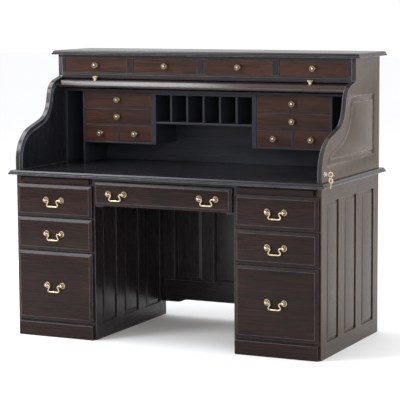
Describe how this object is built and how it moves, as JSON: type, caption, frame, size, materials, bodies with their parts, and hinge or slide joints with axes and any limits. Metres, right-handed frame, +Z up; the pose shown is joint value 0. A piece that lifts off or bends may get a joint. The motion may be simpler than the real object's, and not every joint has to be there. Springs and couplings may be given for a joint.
{
  "type": "roll top desk",
  "caption": "Double pedestal roll top desk with S-shaped gallery sides, coupled tambour, pigeonhole unit, drawers, writing slides and brass pulls.",
  "frame": {"origin": "on the floor, under the middle of the two pedestals", "axes": "+Z up, +X to the sitter's right when looking at the front from outside, +Y towards the back"},
  "size_m": [1.5465, 0.7638, 1.273],
  "materials": {
    "mahogany": "dark red-brown mahogany, satin lacquer",
    "drawer_fronts": "dark red-brown mahogany veneer, satin lacquer",
    "inside_wood": "dark mahogany, thin satin lacquer",
    "tambour": "mahogany slats on canvas, satin lacquer",
    "box_wood": "pale secondary wood, thin varnish",
    "canvas": "brown cotton canvas",
    "brass": "lacquered brass, lightly aged",
    "nickel": "satin nickel plate"
  },
  "bodies": {
    "root": {"left_pedestal": "mahogany", "right_pedestal": "mahogany", "desk_top": "mahogany", "modesty_panel": "mahogany", "centre_frame": "mahogany", "gallery_left": "mahogany", "gallery_right": "mahogany", "gallery_back": "mahogany", "drawer_case": "mahogany", "top_board": "mahogany", "pigeonhole_unit": "inside_wood", "lock_barrel": "nickel"},
    "drawer_left_top": {"drawer_left_top": "drawer_fronts", "posts_left_top": "brass"},
    "drawer_left_middle": {"drawer_left_middle": "drawer_fronts", "posts_left_middle": "brass"},
    "drawer_left_file": {"drawer_left_file": "drawer_fronts", "posts_left_file": "brass"},
    "writing_slide_left": {"writing_slide_left": "mahogany"},
    "drawer_right_top": {"drawer_right_top": "drawer_fronts", "posts_right_top": "brass"},
    "drawer_right_middle": {"drawer_right_middle": "drawer_fronts", "posts_right_middle": "brass"},
    "drawer_right_file": {"drawer_right_file": "drawer_fronts", "posts_right_file": "brass"},
    "writing_slide_right": {"writing_slide_right": "mahogany"},
    "centre_drawer": {"centre_drawer": "drawer_fronts", "posts_centre": "brass"},
    "case_drawer_1": {"case_drawer_1": "drawer_fronts"},
    "case_drawer_2": {"case_drawer_2": "drawer_fronts"},
    "case_drawer_3": {"case_drawer_3": "drawer_fronts"},
    "case_drawer_4": {"case_drawer_4": "drawer_fronts"},
    "bank_left_upper": {"bank_left_upper": "drawer_fronts"},
    "bank_left_lower": {"bank_left_lower": "drawer_fronts"},
    "bank_left_small_in": {"bank_left_small_in": "drawer_fronts"},
    "bank_left_small_out": {"bank_left_small_out": "drawer_fronts"},
    "bank_right_upper": {"bank_right_upper": "drawer_fronts"},
    "bank_right_lower": {"bank_right_lower": "drawer_fronts"},
    "bank_right_small_in": {"bank_right_small_in": "drawer_fronts"},
    "bank_right_small_out": {"bank_right_small_out": "drawer_fronts"},
    "bail_left_top": {"bail_left_top": "brass"},
    "bail_left_middle": {"bail_left_middle": "brass"},
    "bail_left_file": {"bail_left_file": "brass"},
    "bail_centre_left": {"bail_centre_left": "brass"},
    "bail_right_top": {"bail_right_top": "brass"},
    "bail_right_middle": {"bail_right_middle": "brass"},
    "bail_right_file": {"bail_right_file": "brass"},
    "bail_centre_right": {"bail_centre_right": "brass"},
    "lift_rail": {"lift_rail": "mahogany", "rail_fittings": "brass"},
    "tambour_1": {"tambour_1": "tambour"},
    "tambour_2": {"tambour_2": "tambour"},
    "tambour_3": {"tambour_3": "tambour"},
    "tambour_4": {"tambour_4": "tambour"},
    "tambour_5": {"tambour_5": "tambour"},
    "tambour_6": {"tambour_6": "tambour"},
    "tambour_7": {"tambour_7": "tambour"},
    "key": {"key": "brass"},
    "spare_key": {"spare_key": "brass"}
  },
  "joints": [
    {"name": "drawer_left_top_slide", "type": "slide", "parent": "root", "child": "drawer_left_top", "axis": [0, -1, 0], "range_m": [0, 0.42]},
    {"name": "drawer_left_middle_slide", "type": "slide", "parent": "root", "child": "drawer_left_middle", "axis": [0, -1, 0], "range_m": [0, 0.42]},
    {"name": "drawer_left_file_slide", "type": "slide", "parent": "root", "child": "drawer_left_file", "axis": [0, -1, 0], "range_m": [0, 0.45]},
    {"name": "writing_slide_left_slide", "type": "slide", "parent": "root", "child": "writing_slide_left", "axis": [0, -1, 0], "range_m": [0, 0.38]},
    {"name": "drawer_right_top_slide", "type": "slide", "parent": "root", "child": "drawer_right_top", "axis": [0, -1, 0], "range_m": [0, 0.42]},
    {"name": "drawer_right_middle_slide", "type": "slide", "parent": "root", "child": "drawer_right_middle", "axis": [0, -1, 0], "range_m": [0, 0.42]},
    {"name": "drawer_right_file_slide", "type": "slide", "parent": "root", "child": "drawer_right_file", "axis": [0, -1, 0], "range_m": [0, 0.45]},
    {"name": "writing_slide_right_slide", "type": "slide", "parent": "root", "child": "writing_slide_right", "axis": [0, -1, 0], "range_m": [0, 0.38]},
    {"name": "centre_drawer_slide", "type": "slide", "parent": "root", "child": "centre_drawer", "axis": [0, -1, 0], "range_m": [0, 0.33]},
    {"name": "case_drawer_1_slide", "type": "slide", "parent": "root", "child": "case_drawer_1", "axis": [0, -1, 0], "range_m": [0, 0.17]},
    {"name": "case_drawer_2_slide", "type": "slide", "parent": "root", "child": "case_drawer_2", "axis": [0, -1, 0], "range_m": [0, 0.17]},
    {"name": "case_drawer_3_slide", "type": "slide", "parent": "root", "child": "case_drawer_3", "axis": [0, -1, 0], "range_m": [0, 0.17]},
    {"name": "case_drawer_4_slide", "type": "slide", "parent": "root", "child": "case_drawer_4", "axis": [0, -1, 0], "range_m": [0, 0.17]},
    {"name": "bank_left_upper_slide", "type": "slide", "parent": "root", "child": "bank_left_upper", "axis": [0, -1, 0], "range_m": [0, 0.14]},
    {"name": "bank_left_lower_slide", "type": "slide", "parent": "root", "child": "bank_left_lower", "axis": [0, -1, 0], "range_m": [0, 0.14]},
    {"name": "bank_left_small_in_slide", "type": "slide", "parent": "root", "child": "bank_left_small_in", "axis": [0, -1, 0], "range_m": [0, 0.14]},
    {"name": "bank_left_small_out_slide", "type": "slide", "parent": "root", "child": "bank_left_small_out", "axis": [0, -1, 0], "range_m": [0, 0.14]},
    {"name": "bank_right_upper_slide", "type": "slide", "parent": "root", "child": "bank_right_upper", "axis": [0, -1, 0], "range_m": [0, 0.14]},
    {"name": "bank_right_lower_slide", "type": "slide", "parent": "root", "child": "bank_right_lower", "axis": [0, -1, 0], "range_m": [0, 0.14]},
    {"name": "bank_right_small_in_slide", "type": "slide", "parent": "root", "child": "bank_right_small_in", "axis": [0, -1, 0], "range_m": [0, 0.14]},
    {"name": "bank_right_small_out_slide", "type": "slide", "parent": "root", "child": "bank_right_small_out", "axis": [0, -1, 0], "range_m": [0, 0.14]},
    {"name": "bail_left_top_swing", "type": "hinge", "parent": "drawer_left_top", "child": "bail_left_top", "pos_m": [-0.5375, -0.378, 0.622], "axis": [-1, 0, 0], "range_deg": [0, 75]},
    {"name": "bail_left_middle_swing", "type": "hinge", "parent": "drawer_left_middle", "child": "bail_left_middle", "pos_m": [-0.5375, -0.378, 0.471], "axis": [-1, 0, 0], "range_deg": [0, 75]},
    {"name": "bail_left_file_swing", "type": "hinge", "parent": "drawer_left_file", "child": "bail_left_file", "pos_m": [-0.5375, -0.378, 0.237], "axis": [-1, 0, 0], "range_deg": [0, 75]},
    {"name": "bail_centre_left_swing", "type": "hinge", "parent": "centre_drawer", "child": "bail_centre_left", "pos_m": [-0.221, -0.378, 0.663], "axis": [-1, 0, 0], "range_deg": [0, 75]},
    {"name": "bail_right_top_swing", "type": "hinge", "parent": "drawer_right_top", "child": "bail_right_top", "pos_m": [0.5375, -0.378, 0.622], "axis": [-1, 0, 0], "range_deg": [0, 75]},
    {"name": "bail_right_middle_swing", "type": "hinge", "parent": "drawer_right_middle", "child": "bail_right_middle", "pos_m": [0.5375, -0.378, 0.471], "axis": [-1, 0, 0], "range_deg": [0, 75]},
    {"name": "bail_right_file_swing", "type": "hinge", "parent": "drawer_right_file", "child": "bail_right_file", "pos_m": [0.5375, -0.378, 0.237], "axis": [-1, 0, 0], "range_deg": [0, 75]},
    {"name": "bail_centre_right_swing", "type": "hinge", "parent": "centre_drawer", "child": "bail_centre_right", "pos_m": [0.221, -0.378, 0.663], "axis": [-1, 0, 0], "range_deg": [0, 75]},
    {"name": "roll_top", "type": "hinge", "parent": "root", "child": "lift_rail", "pos_m": [0, 0.07418, 0.72233], "axis": [-1, 0, 0], "range_deg": [-75, 0]},
    {"name": "tambour_1_travel", "type": "hinge", "parent": "root", "child": "tambour_1", "pos_m": [0, 0.11386, 0.66732], "axis": [-1, 0, 0], "range_deg": [-65.68, 0], "deforming": ["tambour_1"]},
    {"name": "tambour_2_travel", "type": "hinge", "parent": "root", "child": "tambour_2", "pos_m": [0, 0.36793, 0.22373], "axis": [-1, 0, 0], "range_deg": [-31.57, 0], "deforming": ["tambour_2"]},
    {"name": "tambour_3_travel", "type": "hinge", "parent": "root", "child": "tambour_3", "pos_m": [0, 0.51532, -0.09729], "axis": [-1, 0, 0], "range_deg": [-23.05, 0], "deforming": ["tambour_3"]},
    {"name": "tambour_4_travel", "type": "hinge", "parent": "root", "child": "tambour_4", "pos_m": [0, 0.1426, 0.84736], "axis": [-1, 0, 0], "range_deg": [-103.31, 0], "deforming": ["tambour_4"]},
    {"name": "tambour_5_travel", "type": "hinge", "parent": "root", "child": "tambour_5", "pos_m": [0, 0.12367, 0.96729], "axis": [-1, 0, 0], "range_deg": [-156.74, 0], "deforming": ["tambour_5"]},
    {"name": "tambour_6_travel", "type": "hinge", "parent": "root", "child": "tambour_6", "pos_m": [0, 0.11551, 0.94943], "axis": [-1, 0, 0], "range_deg": [-147.08, 0], "deforming": ["tambour_6"]},
    {"name": "tambour_7_travel", "type": "hinge", "parent": "root", "child": "tambour_7", "pos_m": [0, 0.05886, 0.86776], "axis": [-1, 0, 0], "range_deg": [-105.5, 0], "deforming": ["tambour_7"]},
    {"name": "key_turn", "type": "hinge", "parent": "root", "child": "key", "pos_m": [0.741, -0.327, 0.787], "axis": [1, 0, 0], "range_deg": [0, 90]},
    {"name": "spare_key_swing", "type": "hinge", "parent": "key", "child": "spare_key", "pos_m": [0.77, -0.327, 0.7838], "axis": [1, 0, 0], "range_deg": [-30, 30]}
  ],
  "couplings": [
    {"joint": "tambour_1_travel", "follows": "roll_top", "ratio": 0.87504},
    {"joint": "tambour_2_travel", "follows": "roll_top", "ratio": 0.42032},
    {"joint": "tambour_3_travel", "follows": "roll_top", "ratio": 0.30667},
    {"joint": "tambour_4_travel", "follows": "roll_top", "ratio": 1.3769},
    {"joint": "tambour_5_travel", "follows": "roll_top", "ratio": 2.0892},
    {"joint": "tambour_6_travel", "follows": "roll_top", "ratio": 1.9604},
    {"joint": "tambour_7_travel", "follows": "roll_top", "ratio": 1.4061}
  ]
}
